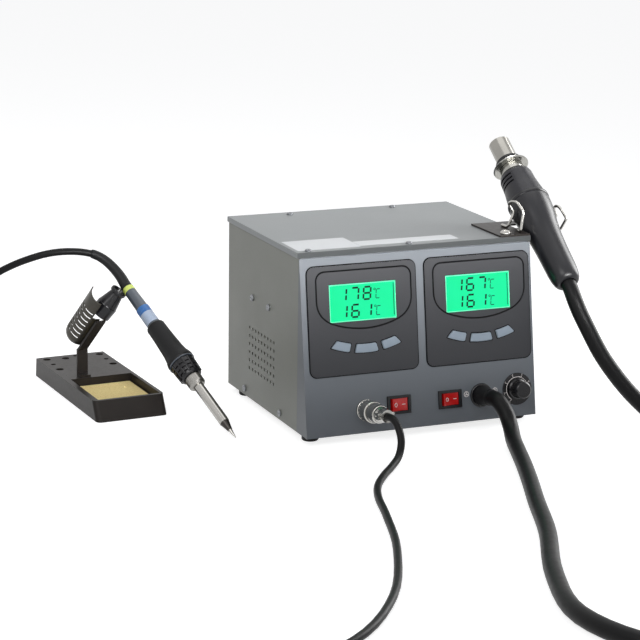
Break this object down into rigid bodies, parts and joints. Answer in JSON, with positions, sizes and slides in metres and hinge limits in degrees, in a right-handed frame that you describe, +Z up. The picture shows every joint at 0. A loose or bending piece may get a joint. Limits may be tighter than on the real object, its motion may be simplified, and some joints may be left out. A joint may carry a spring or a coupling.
{
  "type": "hot air rework station",
  "caption": "Box-shaped rework station: leaning front with two lit displays, keys and rockers, a hot air gun in a wire clip on top, and a soldering iron leaning on a stand with a sponge tray.",
  "frame": {"origin": "on the bench under the middle of the set, seen from above, without its cords", "axes": "+X to the right along the front panel, +Y to the back, +Z up"},
  "size_m": [0.6394, 0.7941, 0.2241],
  "materials": {
    "case_grey": "satin powder coat on steel sheet",
    "cover_grey": "satin powder coat on steel sheet",
    "black_paint": "glossy black paint",
    "charcoal": "fine matt",
    "gloss_black": "glossy",
    "rubber_black": "smooth",
    "steel": "turned",
    "chrome": "polished",
    "dark_steel": "dull",
    "key_grey": "smooth",
    "lcd_green": "lit",
    "switch_red": "glossy",
    "board_green": "lacquered",
    "nylon": "plain",
    "ceramic": "fired",
    "sponge_tan": "cellulose sponge",
    "ring_yellow": "glossy",
    "handle_blue": "glossy",
    "pump_white": "plain"
  },
  "bodies": {
    "station": {"base_pan": "case_grey", "case_shell": "case_grey", "top_cover": "cover_grey", "front_panel": "case_grey", "feet": "rubber_black", "case_screws": "steel", "display_plates": "charcoal", "lcd_modules": "lcd_green", "display_boards": "board_green", "board_spacers": "nylon", "rocker_frames": "gloss_black", "iron_socket": "chrome", "plug_body": "chrome", "plug_clamp": "dark_steel", "hose_gland": "gloss_black", "hose_boot": "rubber_black", "dial_plate": "gloss_black", "pot_body": "dark_steel", "clip_plate": "black_paint", "clip_wire_left": "chrome", "clip_wire_right": "chrome", "clip_screw": "steel", "air_hose": "rubber_black", "iron_cord": "rubber_black", "stand_base": "black_paint", "holder_arm": "black_paint", "heat_shield": "dark_steel", "holder_funnel": "gloss_black", "arm_screw": "steel", "transformer": "dark_steel", "air_pump": "pump_white", "main_board": "board_green", "mains_inlet": "gloss_black"},
    "rocker_left": {"rocker_left": "switch_red"},
    "rocker_right": {"rocker_right": "switch_red"},
    "plug_ring": {"plug_ring": "chrome"},
    "knob": {"air_knob": "gloss_black", "pot_shaft": "steel"},
    "gun": {"nozzle_clamp": "dark_steel", "gun_flange": "chrome", "gun_collar": "chrome", "gun_shell": "gloss_black", "gun_grip": "rubber_black", "gun_heater": "ceramic"},
    "nozzle": {"gun_nozzle": "steel"},
    "iron": {"iron_tip": "dark_steel", "iron_barrel": "steel", "barrel_nut": "dark_steel", "iron_collar": "gloss_black", "iron_grip": "rubber_black", "iron_handle": "handle_blue", "iron_ring": "ring_yellow", "iron_boot": "rubber_black"},
    "sponge": {"sponge": "sponge_tan"},
    "key_l1": {"key_l1": "key_grey"},
    "key_l2": {"key_l2": "key_grey"},
    "key_l3": {"key_l3": "key_grey"},
    "key_r1": {"key_r1": "key_grey"},
    "key_r2": {"key_r2": "key_grey"},
    "key_r3": {"key_r3": "key_grey"}
  },
  "joints": [
    {"name": "key_l1_press", "type": "slide", "parent": "station", "child": "key_l1", "axis": [0, 0.9895, -0.1446], "range_m": [0, 0.0009], "stiffness_N_per_m": 400},
    {"name": "key_l2_press", "type": "slide", "parent": "station", "child": "key_l2", "axis": [0, 0.9895, -0.1446], "range_m": [0, 0.0009], "stiffness_N_per_m": 400},
    {"name": "key_l3_press", "type": "slide", "parent": "station", "child": "key_l3", "axis": [0, 0.9895, -0.1446], "range_m": [0, 0.0009], "stiffness_N_per_m": 400},
    {"name": "key_r1_press", "type": "slide", "parent": "station", "child": "key_r1", "axis": [0, 0.9895, -0.1446], "range_m": [0, 0.0009], "stiffness_N_per_m": 400},
    {"name": "key_r2_press", "type": "slide", "parent": "station", "child": "key_r2", "axis": [0, 0.9895, -0.1446], "range_m": [0, 0.0009], "stiffness_N_per_m": 400},
    {"name": "key_r3_press", "type": "slide", "parent": "station", "child": "key_r3", "axis": [0, 0.9895, -0.1446], "range_m": [0, 0.0009], "stiffness_N_per_m": 400},
    {"name": "rocker_left_tilt", "type": "hinge", "parent": "station", "child": "rocker_left", "pos_m": [0.0293, -0.12665, 0.02609], "axis": [0, 0.1446, 0.9895], "range_deg": [-18, 0]},
    {"name": "rocker_right_tilt", "type": "hinge", "parent": "station", "child": "rocker_right", "pos_m": [0.0757, -0.12665, 0.02609], "axis": [0, 0.1446, 0.9895], "range_deg": [-18, 0]},
    {"name": "plug_ring_turn", "type": "hinge", "parent": "station", "child": "plug_ring", "pos_m": [0.0002, -0.12809, 0.02458], "axis": [0, -0.9895, 0.1446], "range_deg": [0, 360]},
    {"name": "knob_turn", "type": "hinge", "parent": "station", "child": "knob", "pos_m": [0.1382, -0.12746, 0.02883], "axis": [0, -0.9895, 0.1446], "range_deg": [0, 270]},
    {"name": "gun_slide", "type": "slide", "parent": "station", "child": "gun", "axis": [0, 0.8028, 0.5962], "range_m": [0, 0.06]},
    {"name": "nozzle_pull", "type": "slide", "parent": "gun", "child": "nozzle", "axis": [0, 0.8028, 0.5962], "range_m": [0, 0.045]},
    {"name": "iron_lift", "type": "slide", "parent": "station", "child": "iron", "axis": [0.3509, -0.2506, 0.9023], "range_m": [0, 0.05]},
    {"name": "sponge_lift", "type": "slide", "parent": "station", "child": "sponge", "axis": [0, 0, 1], "range_m": [0, 0.02]}
  ]
}
